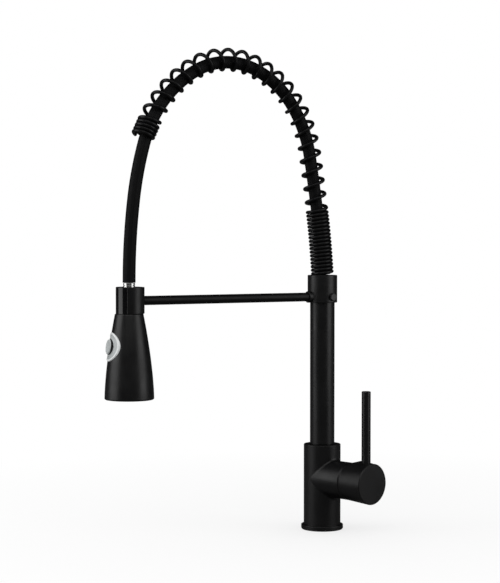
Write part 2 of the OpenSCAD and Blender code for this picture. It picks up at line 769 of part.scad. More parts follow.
module aerator() {
  color([0.2, 0.2, 0.2]) at_head() difference() {
    translate([0, 0, rim_z + 0.2]) cylinder(r = aerator_r, h = face_z + face_h + 1.9 - rim_z - 0.2);
    translate([0, 0, rim_z - cut]) cylinder(r = aerator_r - 1.5, h = 2.2);
    for (n = [0:5]) rotate([0, 0, 60 * n]) translate([4, 0, rim_z])
      cylinder(r = aerator_hole_r, h = 20, $fn = 16);
    translate([0, 0, rim_z]) cylinder(r = aerator_hole_r, h = 20, $fn = 16);
  }
}

// ---- Button ----

module button_bezel() {
  color([0.6, 0.6, 0.6]) difference() {
    intersection() {
      at_head() rotate_extrude() polygon(concat(
        [for (n = [-5:5]) let(z = button_z + n * (bezel_r + 1) / 5) [shell_r(z) + 0.05, z]],
        [for (n = [5:-1:-5]) let(z = button_z + n * (bezel_r + 1) / 5) [shell_r(z) + bezel_proud, z]]));
      at_button() cylinder(r = bezel_r, h = shell_rim_d);
    }
    at_button() cylinder(r = button_hole_r, h = shell_rim_d);
  }
}

module mode_button() {
  color([0.72, 0.72, 0.72]) {
    at_button(button_front - button_h) cylinder(r = button_r, h = button_h - button_edge);
    at_button(button_front - button_edge)
      cylinder(r1 = button_r, r2 = button_r - button_edge, h = button_edge);
  }
}

module diverter_spool() {
  color([0.85, 0.85, 0.85]) at_button(3) cylinder(r = spool_r, h = button_front - 9);
}

module button_spring() {
  color([0.7, 0.7, 0.7]) at_button(waterway_r + 5) tube(4.6, 3.6, button_front - waterway_r - 11.4);
}

base_gasket();
base_ring();
valve_body();
inlet_bush(1);  // inlet_bush_hot
inlet_bush(-1);  // inlet_bush_cold
thrust_washer();
spout_lock_screw();
cartridge_seals();
fixed_disc();
cartridge_housing();
cartridge_nut();
bonnet();
cartridge_rotor();
stem_pin();
mixing_disc();
lever_stem();
handle_cap();
lever_rod();
handle_grub_screw();
column_foot();
foot_o_rings();
column_tube();
collar();
clamp_screw();
hose_union();
spring_mount();
spring_base();
support_arm();
arm_ferrule();
hose_clip();
clip_screw();
hose_section(0);  // hose_section_0
hose_section(1);  // hose_section_1
hose_section(2);  // hose_section_2
hose_section(3);  // hose_section_3
hose_section(4);  // hose_section_4
hose_section(5);  // hose_section_5
hose_section(6);  // hose_section_6
hose_section(7);  // hose_section_7
hose_nut();
spring_coil(1);  // spring_coil_1
spring_coil(2);  // spring_coil_2
spring_coil(3);  // spring_coil_3
spring_coil(4);  // spring_coil_4
spring_coil(5);  // spring_coil_5
head_neck();
check_valve();
head_shell();
head_waterway();
diverter_body();
spray_face();
spray_nozzles();
aerator();
button_bezel();
mode_button();
diverter_spool();
button_spring();
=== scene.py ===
# %% [markdown]
# # A pull-down kitchen faucet in black powder coat
# The imported model gives every part its place and its motion. Here each part that shows gets
# its real surface. The hose and its spring are built again as long smooth pieces cut between
# the hinges, because on the real faucet they are one hose and one spring.

# %% Load the frame
import json
import math

import bmesh
import bpy
import numpy as np
from mathutils import Matrix, Vector


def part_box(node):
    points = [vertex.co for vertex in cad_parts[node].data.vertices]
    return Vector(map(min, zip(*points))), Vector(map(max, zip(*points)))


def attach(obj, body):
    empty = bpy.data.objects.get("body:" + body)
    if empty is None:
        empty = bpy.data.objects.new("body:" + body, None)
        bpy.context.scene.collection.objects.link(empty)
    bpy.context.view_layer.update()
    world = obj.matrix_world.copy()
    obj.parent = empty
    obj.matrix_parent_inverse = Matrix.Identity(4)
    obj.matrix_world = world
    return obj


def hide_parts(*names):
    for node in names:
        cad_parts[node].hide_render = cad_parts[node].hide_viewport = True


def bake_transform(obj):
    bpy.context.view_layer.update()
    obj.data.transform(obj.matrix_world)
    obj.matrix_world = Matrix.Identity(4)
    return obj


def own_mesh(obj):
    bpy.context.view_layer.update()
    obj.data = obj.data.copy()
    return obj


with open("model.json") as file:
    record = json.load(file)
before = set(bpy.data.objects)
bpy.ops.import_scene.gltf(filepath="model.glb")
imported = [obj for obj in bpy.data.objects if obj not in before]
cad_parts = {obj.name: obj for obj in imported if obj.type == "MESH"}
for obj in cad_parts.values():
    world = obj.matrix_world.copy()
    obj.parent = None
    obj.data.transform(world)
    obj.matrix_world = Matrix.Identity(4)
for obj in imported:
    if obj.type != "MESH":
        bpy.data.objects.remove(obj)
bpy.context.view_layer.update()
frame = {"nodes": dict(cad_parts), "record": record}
MM = 0.001

# %% [markdown]
# ## Camera
# A long lens from a little above the middle of the faucet. A long lens keeps the column
# upright and hardly widens the spray head, which is nearer. The arch is seen turned by a
# third of a right angle. The camera's place is in metres, and its focal length is in the
# same unit as the longer side of the image.

# %% Place the camera
VIEW_TURN, LOOK_DOWN = math.radians(30), math.radians(1.94)
CAMERA_FAR, CAMERA_HIGH, CAMERA_ASIDE = 1.913, 0.3425, -0.0845
FOCAL, IMAGE_SIDE = 1640, 583
FILM = 36

look = Vector((-math.cos(VIEW_TURN), math.sin(VIEW_TURN), 0))
right = Vector((math.sin(VIEW_TURN), math.cos(VIEW_TURN), 0))
camera_data = bpy.data.cameras.new("camera")
camera_data.sensor_width = FILM
camera_data.lens = FILM * FOCAL / IMAGE_SIDE
camera_data.clip_end = 100
camera = bpy.data.objects.new("camera", camera_data)
bpy.context.scene.collection.objects.link(camera)
camera.location = -CAMERA_FAR * look + CAMERA_ASIDE * right + Vector((0, 0, CAMERA_HIGH))
aim = look * math.cos(LOOK_DOWN) - Vector((0, 0, math.sin(LOOK_DOWN)))
camera.rotation_mode = "QUATERNION"
camera.rotation_quaternion = aim.to_track_quat("-Z", "Y")
bpy.context.scene.camera = camera
print("lens", round(camera_data.lens, 1), "mm")

# %% [markdown]
# ## Helpers for turned parts
# Most of a faucet is turned on a lathe, so most pieces here are an outline spun round an
# axis. `rounded` softens the corners of an outline, and `lathe` spins it.

# %% Outline and lathe
def rounded(corners, steps=5):
    """Corners are (radius from the axis, height, rounding). Returns the outline's points."""
    points = []
    count = len(corners)
    for i, (r, h, soft) in enumerate(corners):
        here = Vector((r, h))
        if soft <= 0:
            points.append(here)
            continue
        before = Vector(corners[(i - 1) % count][:2]) - here
        after = Vector(corners[(i + 1) % count][:2]) - here
        half = before.angle(after) / 2
        reach = min(soft / math.tan(half), before.length * 0.49, after.length * 0.49)
        soft = reach * math.tan(half)
        before, after = before.normalized(), after.normalized()
        centre = here + (before + after).normalized() * (soft / math.sin(half))
        a = here + before * reach - centre
        b = here + after * reach - centre
        turn = math.atan2(a.x * b.y - a.y * b.x, a.dot(b))
        for n in range(steps + 1):
            c, s = math.cos(turn * n / steps), math.sin(turn * n / steps)
            points.append(centre + Vector((a.x * c - a.y * s, a.x * s + a.y * c)))
    return [(p.x, p.y) for p in points]


def new_object(name, points, faces):
    """A smooth-shaded mesh object from points in metres."""
    mesh = bpy.data.meshes.new(name)
    mesh.from_pydata([tuple(p) for p in points], [], faces)
    mesh.validate()
    obj = bpy.data.objects.new(name, mesh)
    bpy.context.scene.collection.objects.link(obj)
    shape = bmesh.new()
    shape.from_mesh(mesh)
    bmesh.ops.remove_doubles(shape, verts=shape.verts, dist=1e-7)
    bmesh.ops.recalc_face_normals(shape, faces=shape.faces)
    shape.to_mesh(mesh)
    shape.free()
    mesh.shade_smooth()
    return obj


def lathe(name, outline, place=None, around=160, arc=None):
    """Spins an outline in millimetres round its axis. place is the matrix that lays it in the
    frame, and arc (start, end) in degrees leaves a gap."""
    count = len(outline)
    start, end = (0, 360) if arc is None else arc
    rings = around if arc is None else around + 1
    points = []
    for n in range(rings):
        a = math.radians(start + (end - start) * n / around)
        for r, h in outline:
            points.append((r * math.cos(a), r * math.sin(a), h))
    faces = []
    for n in range(around):
        m = (n + 1) % rings
        for i in range(count):
            j = (i + 1) % count
            if outline[i][0] < 1e-6 and outline[j][0] < 1e-6:
                continue
            faces.append((n * count + i, m * count + i, m * count + j, n * count + j))
    if arc is not None:
        faces.append(tuple(range(count)))
        faces.append(tuple(range((rings - 1) * count, rings * count)))
    place = place or Matrix.Identity(4)
    return new_object(name, [place @ (Vector(p) * MM) for p in points], faces)


def even(obj):
    """Keeps long faces flat beside small rounds."""
    obj.modifiers.new("even_normals", "WEIGHTED_NORMAL").keep_sharp = True
    return obj


def crisp(obj, degrees=35):
    """Keeps edges sharper than this sharp, and long faces flat."""
    obj.data.set_sharp_from_angle(angle=math.radians(degrees))
    return even(obj)


def soften(obj, sharper_than, width=0.45):
    """Breaks the edges sharper than an angle in degrees with a round of a width in millimetres."""
    round_edge = obj.modifiers.new("soft_edge", "BEVEL")
    round_edge.width = width * MM
    round_edge.segments = 3
    round_edge.limit_method = "ANGLE"
    round_edge.angle_limit = math.radians(sharper_than)
    return obj


def turned(angle, axis):
    """Turns about X, Y or Z by an angle in radians."""
    return Matrix.Rotation(angle, 4, axis)


def lifted(z):
    """Moves up by a height in millimetres."""
    return Matrix.Translation((0, 0, z * MM))


def sideways(turn, z):
    """Lays a lathe's axis level at a height, turned from +X toward +Y."""
    return turned(turn, "Z") @ lifted(z) @ turned(math.pi / 2, "Y")


def up_at(x, y, z=0):
    """Lays a lathe's axis upright at a point in millimetres."""
    return Matrix.Translation(Vector((x, y, z)) * MM)


def along(direction, origin):
    """Lays a lathe's axis along a direction from an origin in millimetres."""
    turn = Vector(direction).normalized().to_track_quat("Z", "Y").to_matrix().to_4x4()
    return Matrix.Translation(Vector(origin) * MM) @ turn


def angles(count):
    """As many angles, evenly round a circle."""
    return [2 * math.pi * n / count for n in range(count)]


def span(node):
    """Lowest and highest corner of a node, in millimetres."""
    low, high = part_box(node)
    return low / MM, high / MM


# %% [markdown]
# ## Finishes
# Powder coat is a baked plastic skin. It is nearly black, it scatters light broadly, and close
# up it has a fine orange-peel texture. Every finish starts from one recipe: a base colour, a
# roughness that drifts a little from place to place, and a bump that gives the surface its
# grain. Only the numbers differ, so a helper builds them all.

# %% Small helpers for node trees
def link(tree, a, b):
    """Joins an output to an input."""
    tree.links.new(a, b)


def math_node(tree, kind, a, b=None):
    """A Math node on two outputs or numbers. Returns its output."""
    node = tree.nodes.new("ShaderNodeMath")
    node.operation = kind
    for i, value in enumerate((a, b)):
        if isinstance(value, (int, float)):
            node.inputs[i].default_value = value
        elif value is not None:
            link(tree, value, node.inputs[i])
    return node.outputs[0]


def remap(tree, value, start, end, to_start, to_end):
    """A Map Range node: start becomes to_start and end becomes to_end. Returns its output."""
    node = tree.nodes.new("ShaderNodeMapRange")
    for name, number in (("From Min", start), ("From Max", end),
                         ("To Min", to_start), ("To Max", to_end)):
        node.inputs[name].default_value = number
    link(tree, value, node.inputs["Value"])
    return node.outputs["Result"]


def raise_by(tree, shader, height, tall):
    """Gives a shader the relief of a height that runs from 0 to 1, tall millimetres high."""
    relief = tree.nodes.new("ShaderNodeBump")
    relief.inputs["Distance"].default_value = tall * MM
    relief.inputs["Strength"].default_value = 1
    link(tree, height, relief.inputs["Height"])
    link(tree, relief.outputs["Normal"], shader.inputs["Normal"])


def new_material(name, specular):
    """A material with nodes. Returns it, its tree and its shader."""
    material = bpy.data.materials.new(name)
    material.use_nodes = True
    shader = material.node_tree.nodes["Principled BSDF"]
    shader.inputs["Specular IOR Level"].default_value = specular
    return material, material.node_tree, shader


# %% A finish from noise, bump and drift
DRIFT_SIZE, TONE_SIZE = 18, 7
NOISE_LOW, NOISE_HIGH = 0.3, 0.7


def finish_of(name, colour, rough, grain, bump, drift=0.06, tone=0.12, metal=0.0,
              specular=0.5):
    """colour is linear, grain is the size of the grain in millimetres, bump is its height in
    millimetres, drift is how far the roughness wanders, tone how far the colour does."""
    material, tree, shader = new_material(name, specular)
    shader.inputs["Metallic"].default_value = metal
    place = tree.nodes.new("ShaderNodeTexCoord")

    def noise(size, detail):
        """Noise of a size in millimetres, on the piece's own coordinates."""
        node = tree.nodes.new("ShaderNodeTexNoise")
        node.inputs["Scale"].default_value = 1 / (size * MM)
        node.inputs["Detail"].default_value = detail
        link(tree, place.outputs["Object"], node.inputs["Vector"])
        return node.outputs["Fac"]

    wander = remap(tree, noise(DRIFT_SIZE, 3), NOISE_LOW, NOISE_HIGH, rough - drift, rough + drift)
    link(tree, wander, shader.inputs["Roughness"])
    ramp = tree.nodes.new("ShaderNodeValToRGB")
    for element, place_on_ramp, gain in zip(
            ramp.color_ramp.elements, (NOISE_LOW, NOISE_HIGH), (1 - tone, 1 + tone)):
        element.position = place_on_ramp
        element.color = (*[c * gain for c in colour], 1)
    link(tree, noise(TONE_SIZE, 4), ramp.inputs["Fac"])
    link(tree, ramp.outputs["Color"], shader.inputs["Base Color"])
    raise_by(tree, shader, noise(grain, 2), bump)
    return material


BLACK = (0.0034, 0.0034, 0.0038)
powder = finish_of("powder_coat", BLACK, 0.38, grain=0.9, bump=0.010)
satin = finish_of("satin_black", BLACK, 0.28, grain=1.2, bump=0.003, drift=0.04)
arm_coat = finish_of("arm_coat", BLACK, 0.42, grain=0.9, bump=0.010, specular=0.22)
gloss = finish_of("gloss_black", BLACK, 0.12, grain=2.0, bump=0.001, drift=0.03)
wire_coat = finish_of("wire_coat", BLACK, 0.34, grain=0.7, bump=0.004, specular=0.26)
black_plastic = finish_of("black_plastic", (0.008, 0.008, 0.009), 0.5, grain=0.4, bump=0.008)
rubber = finish_of("rubber", (0.02, 0.02, 0.021), 0.65, grain=0.3, bump=0.008, specular=0.35)
steel = finish_of("steel", (0.52, 0.52, 0.53), 0.32, grain=0.5, bump=0.004, metal=1.0)
brass = finish_of("brass", (0.62, 0.44, 0.19), 0.35, grain=0.5, bump=0.004, metal=1.0)
chrome = finish_of("chrome", (0.85, 0.85, 0.84), 0.26, grain=2.0, bump=0.001, drift=0.03, metal=1.0)
ceramic = finish_of("ceramic", (0.68, 0.67, 0.64), 0.3, grain=0.6, bump=0.002)
white_plastic = finish_of("white_plastic", (0.72, 0.72, 0.70), 0.42, grain=0.5, bump=0.004)
grey_plastic = finish_of("grey_plastic", (0.56, 0.59, 0.59), 0.36, grain=0.5, bump=0.003, tone=0.03)
bezel_grey = finish_of("bezel_grey", (0.46, 0.485, 0.485), 0.32, grain=0.5, bump=0.003, tone=0.03)
# Painted highlight: the surround's bead takes this much lighter grey in place of the light it
# catches.
bezel_rim = finish_of("bezel_rim", (0.8, 0.82, 0.82), 0.25, grain=0.5, bump=0.002, tone=0.02)
print("finishes:", len(bpy.data.materials))

# %% [markdown]
# ## Placing a piece
# Each new piece takes one finish, rides one body of the frame, and hides the plain part that
# it stands for.

# %% Fit a piece to the frame
def fit(piece, body, finish, slot, *nodes):
    """Gives a piece its finish and the body that carries it, and hides the nodes it stands for.
    slot is not used.
    """
    piece.data.materials.clear()
    piece.data.materials.append(finish)
    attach(piece, body)
    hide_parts(*nodes)
    print(piece.name, len(piece.data.polygons), "faces ride on", body)
    return piece


def cut_away(piece, *tools):
    """Cuts each tool's solid out of the piece, then throws the tools away."""
    for tool in tools:
        knife = piece.modifiers.new("cut", "BOOLEAN")
        knife.operation = "DIFFERENCE"
        knife.solver = "EXACT"
        knife.object = tool
        dg = bpy.context.evaluated_depsgraph_get()
        shaped = bpy.data.meshes.new_from_object(piece.evaluated_get(dg))
        piece.modifiers.clear()
        piece.data = shaped
        bpy.data.objects.remove(tool)
    piece.data.shade_smooth()
    return piece


# %% [markdown]
# ## Foot and valve body
# The body is one casting: an upright barrel with a side barrel of the same size for the
# cartridge. A boolean would leave a knife-sharp inside corner where they meet, but cast metal
# has a soft one. So the skin is laid out as a net that already has a row of points along the
# corner, and then every point near it is pushed out onto a rounded corner.

# %% Sizes of the body, from the frame
body_low, body_high = span("valve_body")
ring_low, ring_high = span("base_ring")
tube_low, tube_high = span("column_tube")
BODY_R = -body_low.x
BODY_TOP = body_high.z
BODY_FOOT = ring_high.z
STUB_TURN = math.radians(14)
STUB_Z = 60
STUB_LEN = 44
TUBE_R = -tube_low.x
print("barrel", round(BODY_R, 2), "mm in radius and", round(BODY_TOP, 2), "high")

# %% Trim ring under the body
RING_BORE = BODY_R - 1.9
base_ring = lathe("base_ring_turned", rounded([
    (RING_BORE, ring_low.z, 0), (-ring_low.x, ring_low.z, 0.3),
    (-ring_low.x, ring_high.z, 0.8), (RING_BORE, ring_high.z, 0)]))
fit(crisp(base_ring), "base", powder, "matte_black", "base_ring")

# %% The casting's skin
SPIGOT_R = BODY_R - 2
STUB_SOFT, TOP_SOFT, STUB_EDGE = 3.2, 0.7, 0.9
SKIN_AROUND, SKIN_ROWS, STUB_ROWS = 144, 46, 40
CROWDING = 2.2


def casting_distance(p):
    """Distance to the casting's skin, with the inside corner rounded. The points have x along
    the side barrel and z up from its axis."""
    upright = np.hypot(p[:, 0], p[:, 1]) - BODY_R
    side = np.maximum(np.hypot(p[:, 1], p[:, 2]) - BODY_R, -p[:, 0])
    across = p[:, 1] / np.maximum(np.hypot(p[:, 1], p[:, 0]), 1e-6)
    soft = STUB_SOFT * (1 - np.clip(across, -1, 1) ** 2) + 1e-6
    near = np.hypot(np.maximum(soft - upright, 0), np.maximum(soft - side, 0))
    return np.maximum(soft, np.minimum(upright, side)) - near


def onto_skin(p, rounds=6):
    """Moves points along the skin's slope until they lie on it."""
    tiny = 1e-3
    for _ in range(rounds):
        d = casting_distance(p)
        slope = np.stack([casting_distance(p + step) - d for step in tiny * np.eye(3)], 1) / tiny
        p = p - d[:, None] * slope / np.maximum((slope ** 2).sum(1), 1e-9)[:, None]
    return p


def casting(name):
    """Rows run up the barrel. Round the front half they stop at the corner with the side barrel
    and start again above it; the side barrel's rows start at the same points."""
    low, high, foot = BODY_FOOT - STUB_Z, BODY_TOP - STUB_Z, ring_low.z - STUB_Z
    turn = np.radians(np.linspace(-180, 180, SKIN_AROUND + 1))
    cos, sin = np.cos(turn), np.sin(turn)
    points, faces = [], []

    def net(grid, skin=True):
        """Adds a grid of points and its faces, laid onto the skin unless it is flat."""
        start = len(points)
        rows, cols = grid.shape[:2]
        flat = grid.reshape(-1, 3)
        points.extend(onto_skin(flat) if skin else flat)
        for a in (start + r * cols + c for r in range(rows - 1) for c in range(cols - 1)):
            faces.append((a, a + 1, a + cols + 1, a + cols))

    def share(count):
        """Shares from 0 to 1, closer together near 0, where the two barrels meet."""
        return np.linspace(0, 1, count) ** CROWDING

    reach = np.maximum(cos, 0) * BODY_R
    for sign, end, soft_end in ((-1, low, 0), (1, high, TOP_SOFT)):
        net(np.array([
            np.stack([BODY_R * cos, BODY_R * sin,
                      sign * reach * (1 - s) + (end - sign * soft_end) * s], 1)
            for s in share(SKIN_ROWS)]))
    soft_turn = np.radians(np.linspace(0, 90, 7))
    top = [(BODY_R - TOP_SOFT + TOP_SOFT * math.cos(s), high - TOP_SOFT + TOP_SOFT * math.sin(s))
           for s in soft_turn] + [(0, high)]
    for line in (top, [(BODY_R, low), (SPIGOT_R, low), (SPIGOT_R, foot), (0, foot)]):
        net(np.array([np.stack([r * cos, r * sin, np.full_like(turn, z)], 1)
                      for r, z in line]), False)
    net(np.array([
        np.stack([BODY_R * np.abs(cos) * (1 - s) + (STUB_LEN - STUB_EDGE) * s,
                  BODY_R * sin, BODY_R * cos], 1)
        for s in share(STUB_ROWS)]))
    end = [(BODY_R - STUB_EDGE * (1 - math.cos(s)), STUB_LEN - STUB_EDGE * (1 - math.sin(s)))
           for s in soft_turn] + [(0, STUB_LEN)]
    net(np.array([np.stack([np.full_like(turn, x), r * sin, r * cos], 1) for r, x in end]), False)
    place = turned(STUB_TURN, "Z") @ lifted(STUB_Z)
    return new_object(name, [place @ (Vector(p) * MM) for p in points], faces)


body_cast = casting("valve_body_cast")

# %% Bores of the casting
# The ducts that join these bores lie deep inside the casting, so they are left out.
stub_axis = sideways(STUB_TURN, STUB_Z)
stub_ground = turned(STUB_TURN, "Z")


def drill(radius, start, end, place, around=64):
    """A plain solid for cutting a hole, along the axis of place."""
    return lathe("drill", [(0, start), (radius, start), (radius, end), (0, end)], place, around)


PAST = 1
FOOT_BORE, FOOT_DEEP = TUBE_R + 1.05, 20.5
CARTRIDGE_BORE, CARTRIDGE_SEAT = BODY_R - 3.5, 9.5
STUD_BORE, STUD_DEEP, STUD_BACK = 3.4, 16.8, 10
INLET_BORE, INLET_DEEP, INLET_SIDE = 6.02, 14.82, 8.5
cut_away(
    body_cast,
    drill(FOOT_BORE, BODY_TOP - FOOT_DEEP, BODY_TOP + PAST, up_at(0, 0), 96),
    drill(CARTRIDGE_BORE, CARTRIDGE_SEAT, STUB_LEN + PAST, stub_axis, 96),
    drill(STUD_BORE, -PAST, STUD_DEEP, stub_ground @ up_at(-STUD_BACK, 0)),
    *[drill(INLET_BORE, -PAST, INLET_DEEP, stub_ground @ up_at(0, side * INLET_SIDE))
      for side in (1, -1)])
fit(crisp(body_cast), "base", powder, "matte_black", "valve_body")

# %% [markdown]
# ## Column and collar
# The column is a drawn tube and the collar at its top is turned. Both edges of the collar are
# broken with a small round, which catches a thin line of light.

# %% Column tube
TUBE_BORE = TUBE_R - 1.5
column = lathe("column_tube_drawn", rounded([
    (TUBE_BORE, tube_low.z, 0), (TUBE_R, tube_low.z, 0.35),
    (TUBE_R, tube_high.z, 0.2), (TUBE_BORE, tube_high.z, 0)]))
fit(crisp(column), "spout", powder, "matte_black", "column_tube")

# %% Collar
collar_low, collar_high = span("collar")
COLLAR_R = -collar_low.x
COLLAR_BORE, COLLAR_SOFT = 10.35, 0.8
PRESS_GAP = 0.02
collar_step = tube_high.z + 0.1
collar = lathe("collar_turned", rounded([
    (TUBE_R + PRESS_GAP, collar_low.z, 0), (COLLAR_R, collar_low.z, COLLAR_SOFT),
    (COLLAR_R, collar_high.z, COLLAR_SOFT), (COLLAR_BORE, collar_high.z, 0.3),
    (COLLAR_BORE, collar_step, 0), (TUBE_R + PRESS_GAP, collar_step, 0)]))
fit(crisp(collar), "spout", powder, "matte_black", "collar")

# %% Clamp screw with a hexagonal head
ARM_Z = collar_low.z + 6.7
SCREW_TURN = math.radians(8)
HEX_R = 4.6
hex_low, hex_high = COLLAR_R + 0.1, COLLAR_R + 3.3
clamp_screw = lathe("clamp_screw_hexagon", [
    (0, hex_low), (HEX_R, hex_low), (HEX_R, hex_high), (0, hex_high)],
    sideways(SCREW_TURN, ARM_Z), 6)
fit(even(soften(clamp_screw, 30)), "spout", satin, "satin_black", "clamp_screw")

# %% [markdown]
# ## Support arm, its boss and the clip
# A straight rod reaches from the collar to an open ring that holds the spray head's neck. The
# ring is a short tube with a third cut out of its front, so that the hose can leave it.

# %% Arm and boss
clip_low, clip_high = span("hose_clip")
arm_low, arm_high = span("support_arm")
head_low, head_high = span("head_shell")
HEAD_Y = (head_low.y + head_high.y) / 2
ARM_R = (arm_high.x - arm_low.x) / 2
CLIP_R = -clip_low.x
arm_axis = along((0, -1, 0), (0, 0, ARM_Z))
arm_end = -HEAD_Y - CLIP_R + 0.4
arm = lathe("support_arm_rod", rounded([
    (0, -arm_high.y, 0), (ARM_R, -arm_high.y, 0.2), (ARM_R, arm_end, 0), (0, arm_end, 0)]),
    arm_axis, 96)
fit(crisp(arm), "spout", arm_coat, "matte_black", "support_arm")

boss_low, boss_high = span("arm_ferrule")
BOSS_R = (boss_high.x - boss_low.x) / 2
boss_root = TUBE_R + 0.5
boss = lathe("arm_boss", rounded([
    (ARM_R + PRESS_GAP, boss_root, 0), (BOSS_R, boss_root, 0),
    (BOSS_R, -boss_low.y, 0.5), (ARM_R + PRESS_GAP, -boss_low.y, 0.1)]), arm_axis, 96)
cut_away(boss, drill(COLLAR_R - 0.2, collar_low.z - 2, collar_high.z, up_at(0, 0), 160))
fit(crisp(boss), "spout", powder, "matte_black", "arm_ferrule")

# %% Open clip
CLIP_BORE = CLIP_R - 1.6
CLIP_OPEN = 57
clip = lathe("hose_clip_ring", rounded([
    (CLIP_BORE, clip_low.z, 0.5), (CLIP_R, clip_low.z, 0.6),
    (CLIP_R, clip_high.z, 0.6), (CLIP_BORE, clip_high.z, 0.5)], 4),
    up_at(0, HEAD_Y), 120, (-90 + CLIP_OPEN, 270 - CLIP_OPEN))
fit(crisp(soften(clip, 60)), "spout", powder, "matte_black", "hose_clip")

# %% [markdown]
# ## Handle
# The cap flares toward its face. Its back is hollowed to the same ball as the bonnet behind it,
# which is why it can tilt with no gap opening. The lever is a plain rod set in its rim.

# %% Handle cap
DOME_R = BODY_R + 4
BALL_R = DOME_R + 0.4
PIVOT = STUB_LEN - math.sqrt(DOME_R ** 2 - BODY_R ** 2)
STEM_BORE, STEM_ROOM = 4.02, 6
BACK_EDGE_R = BODY_R - 0.1
CAP_LONG, CAP_EDGE = 34.2, 0.9
BACK_STEPS, FLARE_STEPS = 14, 24
rod_low, rod_high = span("lever_rod")
ROD_R = (rod_high.x - rod_low.x) / 2


def ball_at(r):
    """How far along the stub the ball round the pivot is, at a radius from the stub's axis."""
    return PIVOT + math.sqrt(BALL_R ** 2 - r * r)


FACE_R, FACE_AT = BODY_R + 2, ball_at(BODY_R) + CAP_LONG
ROD_AT = FACE_AT - 10
hollow = [STEM_BORE + (BACK_EDGE_R - STEM_BORE) * n / BACK_STEPS for n in range(BACK_STEPS + 1)]
flare_start, flare_end = ball_at(hollow[-1]), FACE_AT - CAP_EDGE
cap_corners = [(r, ball_at(r), 0) for r in hollow[:-1]] + [(hollow[-1], flare_start, CAP_EDGE)]
cap_corners += [(BACK_EDGE_R + (FACE_R - BACK_EDGE_R) * s,
                 flare_start + (flare_end - flare_start) * s, 0)
                for s in np.linspace(0.06, 0.94, FLARE_STEPS)]
cap_corners += [(FACE_R, flare_end, 0.3), (FACE_R - CAP_EDGE, FACE_AT, 0.35), (0, FACE_AT, 0),
                (0, ROD_AT - STEM_ROOM, 0), (STEM_BORE, ROD_AT - STEM_ROOM, 0)]
cap = lathe("handle_cap_turned", rounded(cap_corners), stub_axis, 200)

# %% Low seat under the lever's root, on the cap's upper side
SEAT_RISE, SEAT_ANGLE = 2.8, 0.45
SEAT_MARKS, SEAT_SHARES = (flare_start + 2, ROD_AT - 8, ROD_AT - 2, ROD_AT + 7), (0, 1, 0.9, 0)
into_stub = stub_axis.inverted()
for v in cap.data.vertices:
    local = into_stub @ v.co / MM
    r = math.hypot(local.x, local.y)
    if r > BACK_EDGE_R - 0.5:
        lean = math.atan2(local.y, -local.x) / SEAT_ANGLE
        share = float(np.interp(local.z, SEAT_MARKS, SEAT_SHARES))
        lift = SEAT_RISE * math.exp(-lean * lean) * share
        local.x, local.y = local.x * (r + lift) / r, local.y * (r + lift) / r
        v.co = stub_axis @ (local * MM)
ROD_GAP, ROD_SUNK, ROD_CUT = 0.12, 12, 60
rod_axis = stub_axis @ lifted(ROD_AT) @ turned(-math.pi / 2, "Y")
cut_away(cap, drill(ROD_R + ROD_GAP, -ROD_SUNK, ROD_CUT, rod_axis, 96))
fit(crisp(cap), "lever", powder, "matte_black", "handle_cap")

# %% Lever rod
ROD_TOP, ROD_FOOT = rod_high.z - STUB_Z, 0.1 - ROD_SUNK
rod = lathe("lever_rod_turned", rounded([
    (0, ROD_FOOT, 0), (ROD_R, ROD_FOOT, 0.4), (ROD_R, ROD_TOP, 0.9), (0, ROD_TOP, 0)], 8),
    rod_axis, 96)
fit(crisp(rod), "lever", satin, "satin_black", "lever_rod")

# %% [markdown]
# ## Spray head
# The shell is a bell: it leaves the neck almost straight and flares toward the rim. The same
# curve gives its outside, its inside, and the surface that the button's surround follows.

# %% The bell's curve
SHELL_TOP, RIM_Z = head_high.z, head_low.z
SHELL_TALL = SHELL_TOP - RIM_Z
RIM_R = (head_high.x - head_low.x) / 2
neck_low, neck_high = span("head_neck")
NECK_R, SHELL_TOP_R = 14.6, 15.6
FLARE = 1.57
SHELL_WALL, RIM_SOFT = 2.2, 1.6
HEAD = up_at(0, HEAD_Y)


def bell(z):
    """Radius of the shell's outside at a height."""
    share = max(0, 1 - (SHELL_TOP - z) / SHELL_TALL)
    return float(SHELL_TOP_R + (RIM_R - SHELL_TOP_R) * (1 - share ** FLARE))


print("bell from", round(bell(SHELL_TOP), 2), "to", round(bell(RIM_Z), 2), "mm")

# %% Where the button sits on the bell
BUTTON_SHARE = 0.415
BUTTON_Z = SHELL_TOP - BUTTON_SHARE * SHELL_TALL
BUTTON_R, BEZEL_R = 8.25, 16
BUTTON_HOLE = BUTTON_R + 1.1
BUTTON_FRONT = bell(BUTTON_Z) + 2.5
BUTTON_TURN = math.radians(-9)
BUTTON_TILT = math.atan((bell(BUTTON_Z - BEZEL_R) - bell(BUTTON_Z + BEZEL_R)) / (2 * BEZEL_R))
BUTTON_SIDE = HEAD @ turned(BUTTON_TURN, "Z")
button_axis = BUTTON_SIDE @ lifted(BUTTON_Z) @ turned(math.pi / 2 - BUTTON_TILT, "X")
print("button leans", round(math.degrees(BUTTON_TILT), 1), "degrees with the bell")

# %% Shell
quarter = [math.radians(90 * n / 8) for n in range(9)]
outline = [(RIM_R - RIM_SOFT * (1 - math.sin(a)), RIM_Z + RIM_SOFT * (1 - math.cos(a)))
           for a in quarter]
outline += [(bell(z), z) for z in np.linspace(RIM_Z + RIM_SOFT, SHELL_TOP - 0.3, 64)[1:]]
outline += [(SHELL_TOP_R - 0.3, SHELL_TOP)]
outline += [(bell(z) - SHELL_WALL, z) for z in np.linspace(SHELL_TOP, RIM_Z + 0.8, 40)]
shell = lathe("head_shell_bell", outline, HEAD, 200)
cut_away(shell, drill(BUTTON_HOLE, 0, 40, button_axis, 96))
fit(crisp(shell, 40), "spray_head", powder, "matte_black", "head_shell")

